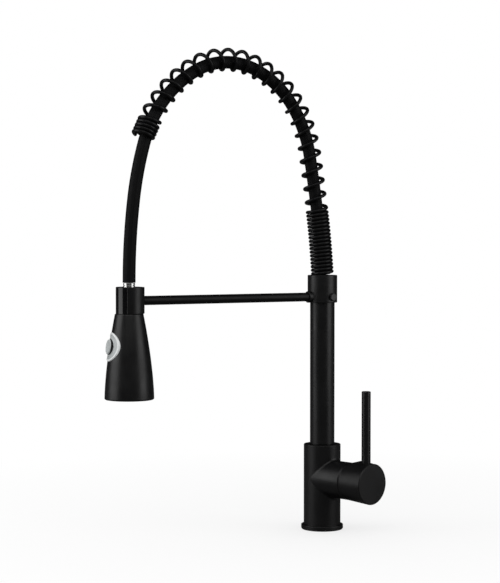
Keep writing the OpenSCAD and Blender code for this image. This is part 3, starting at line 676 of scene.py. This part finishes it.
# %% Neck
WATERWAY_R = 7
NUT_R, NUT_FLANGE_R = 6.5, 8.1
NUT_GAP, FLANGE_GAP = 0.06, 0.1
neck_bore, neck_fit = WATERWAY_R + PRESS_GAP, SHELL_TOP_R - SHELL_WALL - 0.1
neck_step = SHELL_TOP + 0.05
flange_top, flange_foot = neck_high.z - 9, neck_high.z - 12.5
neck = lathe("head_neck_turned", rounded([
    (neck_bore, neck_low.z, 0), (neck_fit, neck_low.z, 0), (neck_fit, neck_step, 0),
    (NECK_R, neck_step, 0.3), (NECK_R, neck_high.z, 0.8), (NUT_R + NUT_GAP, neck_high.z, 0.3),
    (NUT_R + NUT_GAP, flange_top, 0), (NUT_FLANGE_R + FLANGE_GAP, flange_top, 0),
    (NUT_FLANGE_R + FLANGE_GAP, flange_foot, 0), (neck_bore, flange_foot, 0)]), HEAD, 128)
fit(crisp(neck), "spray_head", gloss, "gloss_black", "head_neck")

# %% Chrome sleeve of the hose
NUT_BORE, GROOVE_R = 3.8, NUT_R - 0.35
nut_low, nut_high = span("hose_nut")
groove = [(r, neck_high.z + up, soft) for r, up, soft in (
    (NUT_R, 1.3, 0.15), (GROOVE_R, 1.5, 0.1), (GROOVE_R, 2.0, 0.1), (NUT_R, 2.2, 0.15))]
sleeve = lathe("hose_nut_sleeve", rounded([
    (NUT_BORE, nut_low.z, 0), (NUT_FLANGE_R, nut_low.z, 0), (NUT_FLANGE_R, nut_low.z + 3, 0),
    (NUT_R, nut_low.z + 3, 0), *groove, (NUT_R, nut_high.z, 0.5),
    (NUT_BORE, nut_high.z, 0)]), HEAD, 96)
fit(crisp(sleeve), "flex_6", chrome, "chrome", "hose_nut")

# %% Spray plate and its rubber nozzles
# Rubber tips let lime be rubbed off. Each is a small cone with a hole down its middle.
face_low, face_high = span("spray_face")
PLATE_R, PLATE_BORE = (face_high.x - face_low.x) / 2, 8.55
plate = lathe("spray_face_plate", rounded([
    (PLATE_BORE, face_low.z, 0.2), (PLATE_R - 1.2, face_low.z, 0.4),
    (PLATE_R, face_low.z + 0.6, 0.2), (PLATE_R, face_high.z, 0),
    (PLATE_BORE, face_high.z, 0)]), HEAD, 160)
fit(crisp(plate), "spray_head", black_plastic, "black_plastic", "spray_face")

NOZZLE_CIRCLES = ((12.5, 12), (16.5, 18), (20.5, 24))
TIP_HOLE, TIP_R, TIP_ROOT_R = 0.45, 0.85, 1.1
tip_low, tip_high = span("spray_nozzles")
nozzle = rounded([(TIP_HOLE, tip_low.z, 0.1), (TIP_R, tip_low.z, 0.2),
                  (TIP_ROOT_R, face_low.z + 0.1, 0.1), (TIP_ROOT_R, face_low.z + 1.6, 0),
                  (TIP_HOLE, face_low.z + 1.6, 0)], 3)
pad_in, pad_out, pad_z = PLATE_BORE + 0.35, PLATE_R - 0.7, tip_high.z - 1.2
nozzles = [lathe("nozzle", [(pad_in, pad_z), (pad_out, pad_z), (pad_out, tip_high.z),
                            (pad_in, tip_high.z)], HEAD, 96)]
for circle, count in NOZZLE_CIRCLES:
    for n in range(count):
        a = 2 * math.pi * (n + 1) / count
        spot = HEAD @ up_at(circle * math.cos(a), circle * math.sin(a))
        nozzles.append(lathe("nozzle", nozzle, spot, 16))


def joined(name, parts):
    """One object from several, with one name."""
    with bpy.context.temp_override(active_object=parts[0], selected_editable_objects=parts):
        bpy.ops.object.join()
    parts[0].name = name
    return parts[0]


fit(crisp(joined("spray_nozzles_rubber", nozzles)), "spray_head", rubber, "rubber", "spray_nozzles")

# %% Surround of the button
# A ring that lies on the bell. Each point is found on the bell's surface first, by walking
# along the button's axis until the point is at the bell's radius, and then lifted.


def on_bell(across, up, lift):
    """A point of the bell's surface seen along the button's axis, lifted by a height."""
    tilt = Vector((0, -math.cos(BUTTON_TILT), math.sin(BUTTON_TILT)))
    rise = Vector((0, math.sin(BUTTON_TILT), math.cos(BUTTON_TILT)))
    start = Vector((0, 0, BUTTON_Z)) + Vector((1, 0, 0)) * across + rise * up
    out = BUTTON_FRONT
    for _ in range(12):
        p = start + tilt * out
        out += bell(p.z) + lift - math.hypot(p.x, p.y)
    return BUTTON_SIDE @ ((start + tilt * out) * MM)


# The surround's section, as (distance from the button's axis, height over the bell)
surround_line = [(BUTTON_R + out, up) for out, up in (
    (0.55, -1.6), (0.55, 0.45), (0.7, 0.8), (1.0, 0.94), (1.6, 0.97), (1.9, 0.9), (2.3, 0.7),
    (2.8, 0.58))]
surround_line += [(BEZEL_R - inward, up) for inward, up in (
    (3.1, 0.58), (2.4, 0.7), (1.8, 0.95), (1.2, 1.08), (0.7, 1.04), (0.3, 0.85), (0, 0.45),
    (0, 0.06), (0.9, 0.05))]
surround_line += [(BUTTON_HOLE, 0.05), (BUTTON_HOLE, -1.6)]
SHADED_WALL_STRIP, RIM_HIGHLIGHT_STRIPS = 0, range(9, 15)
SURROUND_ROUND = 128
points = [on_bell(r * math.cos(a), r * math.sin(a), up)
          for a in angles(SURROUND_ROUND) for r, up in surround_line]
count = len(surround_line)
faces = []
for n in range(SURROUND_ROUND):
    row, next_row = n * count, (n + 1) % SURROUND_ROUND * count
    faces += [(row + i, next_row + i, next_row + (i + 1) % count, row + (i + 1) % count)
              for i in range(count)]
surround = new_object("button_bezel_ring", points, faces)
fit(crisp(surround, 50), "spray_head", bezel_grey, "grey_bezel", "button_bezel")


def paint(piece, finish, chosen):
    """A second finish on the faces that chosen picks. Here it paints the highlight on the
    surround's bead and the shade round the button.
    """
    piece.data.materials.append(finish)
    picked = [face for face in piece.data.polygons if chosen(face)]
    for face in picked:
        face.material_index = len(piece.data.materials) - 1
    print(len(picked), "faces of", piece.name, "in", finish.name)


# Painted highlight: the bead and outer wall of the surround take the lighter grey.
paint(surround, bezel_rim, lambda face: face.index % count in RIM_HIGHLIGHT_STRIPS)
# Painted shade: the surround's inner wall beside the button is black, for the dark gap round it.
paint(surround, black_plastic, lambda face: face.index % count == SHADED_WALL_STRIP)

# %% Spray button
# Its front is dished a little. Below the front's edge the button's side is painted black, a painted
# shade that draws the dark line round it.
BUTTON_DEEP, SHADE_EDGE = 6, 1.05
cap_line = rounded([(r, BUTTON_FRONT - down, soft) for r, down, soft in (
    (0, BUTTON_DEEP, 0), (BUTTON_R, BUTTON_DEEP, 0.2), (BUTTON_R, 1.1, 0),
    (BUTTON_R, 0.25, 0.6))], 6)[:-1]
cap_line += [(r, BUTTON_FRONT - down) for r, down in (
    (BUTTON_R - 0.6, 0), (BUTTON_R - 1.3, 0.12), (BUTTON_R * 0.6, 0.35), (BUTTON_R * 0.3, 0.45),
    (0, 0.5))]
button = lathe("mode_button_cap", cap_line, button_axis, 128)
fit(crisp(button, 50), "mode_button", grey_plastic, "grey_button", "mode_button")
into_button = button_axis.inverted()
shade_top = (BUTTON_FRONT - SHADE_EDGE) * MM
# Painted shade: the button's side below its front is black, which draws the dark line round it.
paint(button, black_plastic, lambda face: (into_button @ face.center).z < shade_top)

# %% [markdown]
# ## The arch: one hose inside one spring
# The centre line is a chain of arcs that run into each other without a corner. The frame has
# six hinges, each where one arc ends and the next begins. The hose and the spring are cut midway
# between hinges, so each piece has one hinge inside it. Neighbouring pieces end on the same
# section, so they look like one hose and one spring.

# %% Centre line, with lengths in millimetres and bends in degrees
ARC_LENGTHS = (76, 64, 63, 64, 79, 104, 65, 93)
ARC_BENDS = (4.6, 2, 24.7, 33.5, 51.8, 43, 9.6, 7.3)
START_LEAN = 3.5


def arch_arcs():
    """Each arc as its start, its lean there, its length and its bend. Points are (forward, up)."""
    arcs, at, lean = [], np.array([0.0, collar_high.z]), START_LEAN
    for length, bend in zip(ARC_LENGTHS, ARC_BENDS):
        arcs.append((at, lean, length, bend))
        h0, h1 = math.radians(lean), math.radians(lean + bend)
        radius = length / math.radians(bend)
        at = at + radius * np.array([math.cos(h0) - math.cos(h1), math.sin(h1) - math.sin(h0)])
        lean += bend
    return arcs


ARCS = arch_arcs()
ARC_ENDS = np.cumsum(ARC_LENGTHS)
HINGES = [float(ARC_ENDS[i]) for i in (0, 1, 2, 4, 5, 6)]


def arch(s):
    """Point (forward, up) and lean in radians at a distance along the centre line."""
    i = min(int(np.searchsorted(ARC_ENDS, s, side="right")), len(ARCS) - 1)
    at, lean, length, bend = ARCS[i]
    along_arc = s - (ARC_ENDS[i] - length)
    h0 = math.radians(lean)
    radius = length / math.radians(bend)
    h = h0 + along_arc / radius
    return at + radius * np.array([math.cos(h0) - math.cos(h), math.sin(h) - math.sin(h0)]), h


def frame_at(s):
    """The arch's point, its direction, the direction toward the inside of the bend, and the
    sideways direction, all in the frame's axes."""
    p, h = arch(s)
    centre = Vector((0, -p[0], p[1]))
    ahead = Vector((0, -math.sin(h), math.cos(h)))
    inner = Vector((0, -math.cos(h), -math.sin(h)))
    return centre, ahead, inner, Vector((-1, 0, 0))


LINE_END = float(ARC_ENDS[-1])
midway = [(a + b) / 2 for a, b in zip(HINGES, HINGES[1:])]
print("centre line", LINE_END, "mm, ends at", [round(float(v), 2) for v in arch(LINE_END)[0]])


def across_hinge(piece, number, s0, s1, finish, slot, *nodes):
    """The piece from s0 to s1 takes its finish, has its place baked into its points and hides the
    nodes it stands for; number is the hinge inside it. s0 and s1 are not used.
    """
    piece.data.materials.append(finish)
    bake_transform(piece)
    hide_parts(*nodes)
    print(piece.name, len(piece.data.polygons), "faces bend over hinge", number)


# %% [markdown]
# ## Spring
# A right-handed helix round the centre line, of coated wire. Its lowest turns nearly touch, the
# arch's turns are a finger apart, and the last four close up again into a stiff, straight end.

# %% Turns along the spring
COIL_R, WIRE_R = 11.3, 2.05
SPRING_START, OPEN_FROM, CLOSED_FROM, SPRING_END = 1.2, 76.1, 428.8, 447.2
TURN_MARKS = (SPRING_START, OPEN_FROM, 290, CLOSED_FROM, SPRING_END)
TURN_COUNTS = (0, 17.55, 30.93, 39.5, 43.94)
BOW_MARKS, BOW = (76, 130, 190, 267, 340, 446), (0, 0.5, 1.8, 1.0, 2.1, 2.3)


def turns_at(s, reach=1.5):
    """Turns made by a distance, with each change of pitch eased over a short stretch."""
    reach = max(0, min(reach, s - SPRING_START, SPRING_END - s))
    near = s + reach * np.linspace(-1, 1, 9)
    return float(np.interp(near, TURN_MARKS, TURN_COUNTS).mean())


def helix_point(s):
    """The wire's centre. The spring stands out from the hose round the bend. The close end
    turns are stiff, so there the coil runs straight on."""
    centre, ahead, inner, side = frame_at(min(s, CLOSED_FROM))
    bow = float(np.interp(s, BOW_MARKS, BOW))
    centre = centre + ahead * max(0, s - CLOSED_FROM) - inner * bow
    a = 2 * math.pi * turns_at(s)
    return centre + COIL_R * (math.sin(a) * inner + math.cos(a) * side)


def tube_faces(rings, sides):
    """Faces of a tube with closed ends, whose rings of points follow each other."""
    faces = []
    for n in range((rings - 1) * sides):
        row, j = n - n % sides, n % sides
        k = (j + 1) % sides
        faces.append((row + j, row + k, row + sides + k, row + sides + j))
    last = (rings - 1) * sides
    return faces + [tuple(range(sides))[::-1], tuple(range(last, last + sides))]


def swept(name, line, radius, sides):
    """A round wall swept along points in millimetres, with closed ends. The first and last
    points only give the direction of the ends, so that two pieces of one wire meet exactly."""
    points, up = [], Vector((1, 0, 0))
    for before, p, after in zip(line, line[1:], line[2:]):
        ahead = (after - before).normalized()
        up = (up - ahead * up.dot(ahead)).normalized()
        side = ahead.cross(up)
        points += [(p + radius * (math.cos(a) * up + math.sin(a) * side)) * MM
                   for a in angles(sides)]
    return new_object(name, points, tube_faces(len(line) - 2, sides))


# %% Wind the spring
SPRING_CUTS = [SPRING_START] + midway[:3] + [SPRING_END]
SPRING_NODES = (("spring_base",), ("spring_coil_1",), ("spring_coil_2",),
                ("spring_coil_3", "spring_coil_4", "spring_coil_5"))
STEPS_A_TURN, WIRE_SIDES = 36, 14
END_EDGE = math.radians(60)
tiny = 0.05
for n, nodes in enumerate(SPRING_NODES):
    s0, s1 = SPRING_CUTS[n], SPRING_CUTS[n + 1]
    turns = turns_at(s1) - turns_at(s0)
    marks = np.linspace(turns_at(s0), turns_at(s1), int(turns * STEPS_A_TURN))
    table = np.linspace(s0, s1, 2000)
    spots = np.interp(marks, [turns_at(s) for s in table], table)
    line = [helix_point(s) for s in [s0 - tiny, *spots, s1 + tiny]]
    wire = swept(f"spring_{n + 1}", line, WIRE_R, WIRE_SIDES)
    wire.data.set_sharp_from_angle(angle=END_EDGE)
    across_hinge(wire, n + 1, s0, s1, wire_coat, "spring_wire", *nodes)

# %% Coil behind the button
# A small steel coil pushes the button back out. It can't follow the button at both ends, so it
# rides with the button.
PUSH_R, PUSH_WIRE, PUSH_TURNS = 4.1, 0.5, 5
coil_far, coil_near = WATERWAY_R + 5.6, BUTTON_FRONT - BUTTON_DEEP - 1
coil_steps = PUSH_TURNS * STEPS_A_TURN
coil_line = []
for n in range(-1, coil_steps + 2):
    a = 2 * math.pi * n / STEPS_A_TURN
    out = coil_far + (coil_near - coil_far) * n / coil_steps
    at = Vector((PUSH_R * math.cos(a), PUSH_R * math.sin(a), out))
    coil_line.append(button_axis @ (at * MM) / MM)
push = swept("button_coil", coil_line, PUSH_WIRE, 10)
fit(push, "mode_button", steel, "steel", "button_spring")
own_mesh(push)

# %% [markdown]
# ## Braided hose
# The hose inside the spring is covered with a nylon braid. Two families of flat strands run
# round it, one each way, and cross over and under. The braid is far finer than the wire, so it
# is drawn in the finish, on a map that goes once round the hose and evenly along it.

# %% Braid finish
# Dips between the strands are darker and rougher than the strands' crowns; the darker dips are
# painted shade and the lighter crowns painted light.
STRAND_CROWN, STRAND_TALL = 0.6, 0.25
DIP_SHADE_TONE, CROWN_LIGHT_TONE = 0.35, 1.3
DIP_ROUGH, CROWN_ROUGH = 0.75, 0.5


def braid_finish(name, colour, strands, pitch):
    """strands is how many run each way round, pitch the turns that each makes in one unit of
    the map along the hose."""
    material, tree, shader = new_material(name, specular=0.14)
    uv = tree.nodes.new("ShaderNodeUVMap")
    uv.uv_map = "braid"
    axes = tree.nodes.new("ShaderNodeSeparateXYZ")
    link(tree, uv.outputs["UV"], axes.inputs["Vector"])

    def do(kind, a, b=None):
        """One step of the sum below."""
        return math_node(tree, kind, a, b)

    around_hose = do("MULTIPLY", axes.outputs["X"], strands * math.pi)
    along_hose = do("MULTIPLY", axes.outputs["Y"], strands * pitch * math.pi)
    one = do("SINE", do("ADD", around_hose, along_hose))
    other = do("SINE", do("SUBTRACT", around_hose, along_hose))
    over = do("GREATER_THAN", do("MULTIPLY", one, other), 0)
    strand_a = do("POWER", do("ABSOLUTE", one), STRAND_CROWN)
    strand_b = do("POWER", do("ABSOLUTE", other), STRAND_CROWN)
    upper = do("MULTIPLY", strand_a, over)
    lower = do("MULTIPLY", strand_b, do("SUBTRACT", 1, over))
    height = do("ADD", upper, lower)
    raise_by(tree, shader, height, STRAND_TALL)
    rough = remap(tree, height, 0, 1, DIP_ROUGH, CROWN_ROUGH)
    link(tree, rough, shader.inputs["Roughness"])
    # Painted shade in the dips and painted light on the crowns: the colour follows the strands'
    # height.
    height_shade_tint = tree.nodes.new("ShaderNodeMix")
    height_shade_tint.data_type = "RGBA"
    height_shade_tint.blend_type = "MULTIPLY"
    height_shade_tint.inputs["Factor"].default_value = 1
    height_shade_tint.inputs["A"].default_value = (*colour, 1)
    link(tree, remap(tree, height, 0, 1, DIP_SHADE_TONE, CROWN_LIGHT_TONE), height_shade_tint.inputs["B"])
    link(tree, height_shade_tint.outputs["Result"], shader.inputs["Base Color"])
    return material


braid = braid_finish("braid_black", (0.0036, 0.0036, 0.004), 16, 1.0)

# %% Lay the hose
HOSE_R, HOSE_SIDES, RING_EVERY = 7.1, 48, 1.6
SLACK, SLACK_MIDDLE, SLACK_HALF = 1.5, 290, 150


def sag_inward(s):
    """How far the hose lies toward the inside of the bend, in millimetres."""
    t = np.clip(abs(s - SLACK_MIDDLE) / SLACK_HALF, 0, 1)
    return SLACK * (1 - t * t * (3 - 2 * t))


def hose_piece(name, s0, s1):
    """The hose from s0 to s1, with the braid's map on it."""
    count = max(2, int((s1 - s0) / RING_EVERY))
    points, mark = [], []
    for s in np.linspace(s0, s1, count + 1):
        centre, ahead, inner, side = frame_at(s)
        centre = centre + inner * sag_inward(s)
        points += [(centre + HOSE_R * (math.cos(a) * side + math.sin(a) * inner)) * MM
                   for a in angles(HOSE_SIDES)]
        mark.append(s / (2 * math.pi * HOSE_R))
    corners = []
    for v0, v1 in zip(mark, mark[1:]):
        for u0, u1 in ((j / HOSE_SIDES, (j + 1) / HOSE_SIDES) for j in range(HOSE_SIDES)):
            corners += [(u0, v0), (u1, v0), (u1, v1), (u0, v1)]
    corners += [(0, 0)] * (2 * HOSE_SIDES)
    mesh = bpy.data.meshes.new(name)
    mesh.from_pydata([tuple(p) for p in points], [], tube_faces(count + 1, HOSE_SIDES))
    layer = mesh.uv_layers.new(name="braid")
    layer.data.foreach_set("uv", np.array(corners, np.float32).ravel())
    mesh.shade_smooth()
    mesh.set_sharp_from_angle(angle=END_EDGE)
    piece = bpy.data.objects.new(name, mesh)
    bpy.context.scene.collection.objects.link(piece)
    return piece


HOSE_CUTS = [0.5] + midway + [LINE_END - 0.3]
HOSE_NODES = (("hose_section_0",), ("hose_section_1",), ("hose_section_2",),
              ("hose_section_3", "hose_section_4"), ("hose_section_5",),
              ("hose_section_6", "hose_section_7"))
for n, nodes in enumerate(HOSE_NODES):
    hose = hose_piece(f"hose_{n + 1}", HOSE_CUTS[n], HOSE_CUTS[n + 1])
    across_hinge(hose, n + 1, HOSE_CUTS[n], HOSE_CUTS[n + 1], braid, "braided_hose", *nodes)

# %% [markdown]
# ## Parts that keep their own shape
# Inside parts, seals and screws hardly show. They keep the shape of the frame and only take
# their finish.

# %% Finishes for the rest
BY_SLOT = {
    "matte_black": powder, "satin_black": satin, "spring_wire": wire_coat,
    "braided_hose": black_plastic, "gloss_black": gloss, "black_plastic": black_plastic,
    "rubber": rubber, "steel": steel, "brass": brass, "ceramic": ceramic,
    "white_plastic": white_plastic, "chrome": chrome, "grey_button": grey_plastic,
    "grey_bezel": bezel_grey}
slot_of = {entry["node"]: entry["material_slot"] for entry in frame["record"]["subparts"]}
BLACKENED = ("column_foot",)
dressed = 0
for name, node in frame["nodes"].items():
    for place in node.material_slots:
        slot = next((s for s in BY_SLOT if s in place.material.name), None) or slot_of.get(name)
        place.material = satin if name in BLACKENED else BY_SLOT.get(slot, black_plastic)
        dressed += 1
print(dressed, "finishes put on parts of the frame")

# %% [markdown]
# ## Studio
# A pale floor, a soft light from each side, and a weak light from all round. Tall boxes of light
# at the sides draw the two long highlights that show a black tube is round.

# %% Floor
# The camera sees white paper with the faucet's shadow on it. The shadow fades out from NEAR to
# FAR, in metres, where the paper only glows. Other rays see the paper as DIM, so that the black
# parts stay deep.
FLOOR_R, FLOOR_SIDES, FLOOR_DROP = 6.0, 96, 0.0002
NEAR, FAR, GLOW_SHARE = 0.05, 0.7, 0.7
DIM, PALE = 0.1, 0.9
floor = new_object("floor", [(FLOOR_R * math.cos(a), FLOOR_R * math.sin(a), -FLOOR_DROP)
                             for a in angles(FLOOR_SIDES)], [tuple(range(FLOOR_SIDES))])
paper = bpy.data.materials.new("paper_white")
paper.use_nodes = True
tree = paper.node_tree
tree.nodes.remove(tree.nodes["Principled BSDF"])
rays = tree.nodes.new("ShaderNodeLightPath")
tone = tree.nodes.new("ShaderNodeMix")
tone.data_type = "RGBA"
tone.inputs["A"].default_value = (DIM, DIM, DIM, 1)
tone.inputs["B"].default_value = (PALE, PALE, PALE, 1)
link(tree, rays.outputs["Is Camera Ray"], tone.inputs["Factor"])
matte = tree.nodes.new("ShaderNodeBsdfDiffuse")
link(tree, tone.outputs["Result"], matte.inputs["Color"])
glow = tree.nodes.new("ShaderNodeEmission")
glow.inputs["Color"].default_value = (1, 1, 1, 1)
glow.inputs["Strength"].default_value = 1
place = tree.nodes.new("ShaderNodeTexCoord")
distance = tree.nodes.new("ShaderNodeVectorMath")
distance.operation = "LENGTH"
link(tree, place.outputs["Object"], distance.inputs[0])
fade = remap(tree, distance.outputs["Value"], NEAR, FAR, GLOW_SHARE, 1)
both = tree.nodes.new("ShaderNodeMixShader")
link(tree, math_node(tree, "MULTIPLY", rays.outputs["Is Camera Ray"], fade), both.inputs["Fac"])
link(tree, matte.outputs["BSDF"], both.inputs[1])
link(tree, glow.outputs["Emission"], both.inputs[2])
link(tree, both.outputs["Shader"], tree.nodes["Material Output"].inputs["Surface"])
floor.data.materials.append(paper)
print("floor", 2 * FLOOR_R, "m across")

# %% Soft boxes, all aimed at one point in metres
AIM = Vector((0, -0.08, 0.28))


def soft_box(name, turn, rise, far, wide, tall, power):
    """A sheet of light, in metres and watts. turn is degrees round from the camera, positive to
    its right, and rise is degrees up."""
    data = bpy.data.lights.new(name, "AREA")
    data.shape = "RECTANGLE"
    data.size, data.size_y = wide, tall
    data.energy = power
    lamp = bpy.data.objects.new(name, data)
    bpy.context.scene.collection.objects.link(lamp)
    a, up = math.radians(turn), math.radians(rise)
    toward = (-look * math.cos(a) + right * math.sin(a)) * math.cos(up)
    lamp.location = AIM + (toward + Vector((0, 0, math.sin(up)))) * far
    lamp.rotation_mode = "QUATERNION"
    lamp.rotation_quaternion = (AIM - lamp.location).to_track_quat("-Z", "Y")
    lamp.visible_camera = False
    print(name, power, "W, at", [round(v, 2) for v in lamp.location])


soft_box("box_left", -75, 12, 1.6, 1.2, 1.8, 12)
soft_box("box_right", 70, 12, 1.6, 1.1, 1.8, 9)
soft_box("box_front", 0, 40, 2.2, 2.2, 1.4, 10)

# %% Light from all round
world = bpy.data.worlds.new("studio")
bpy.context.scene.world = world
world.use_nodes = True
tree = world.node_tree
background = tree.nodes["Background"]
background.inputs["Color"].default_value = (1, 1, 1, 1)
rays = tree.nodes.new("ShaderNodeLightPath")
DIFFUSE_LEVEL, GLOSS_LEVEL = 0.66, 0.02
shown = math_node(tree, "MAXIMUM", rays.outputs["Is Camera Ray"],
                  rays.outputs["Is Transmission Ray"])
scattered = math_node(tree, "MULTIPLY", rays.outputs["Is Diffuse Ray"], DIFFUSE_LEVEL)
mirrored = math_node(tree, "MULTIPLY", rays.outputs["Is Glossy Ray"], GLOSS_LEVEL)
level = math_node(tree, "MAXIMUM", shown, math_node(tree, "MAXIMUM", scattered, mirrored))
link(tree, level, background.inputs["Strength"])
print("light from all round", DIFFUSE_LEVEL, "and in reflections", GLOSS_LEVEL)
bpy.context.scene.view_settings.view_transform = "Standard"
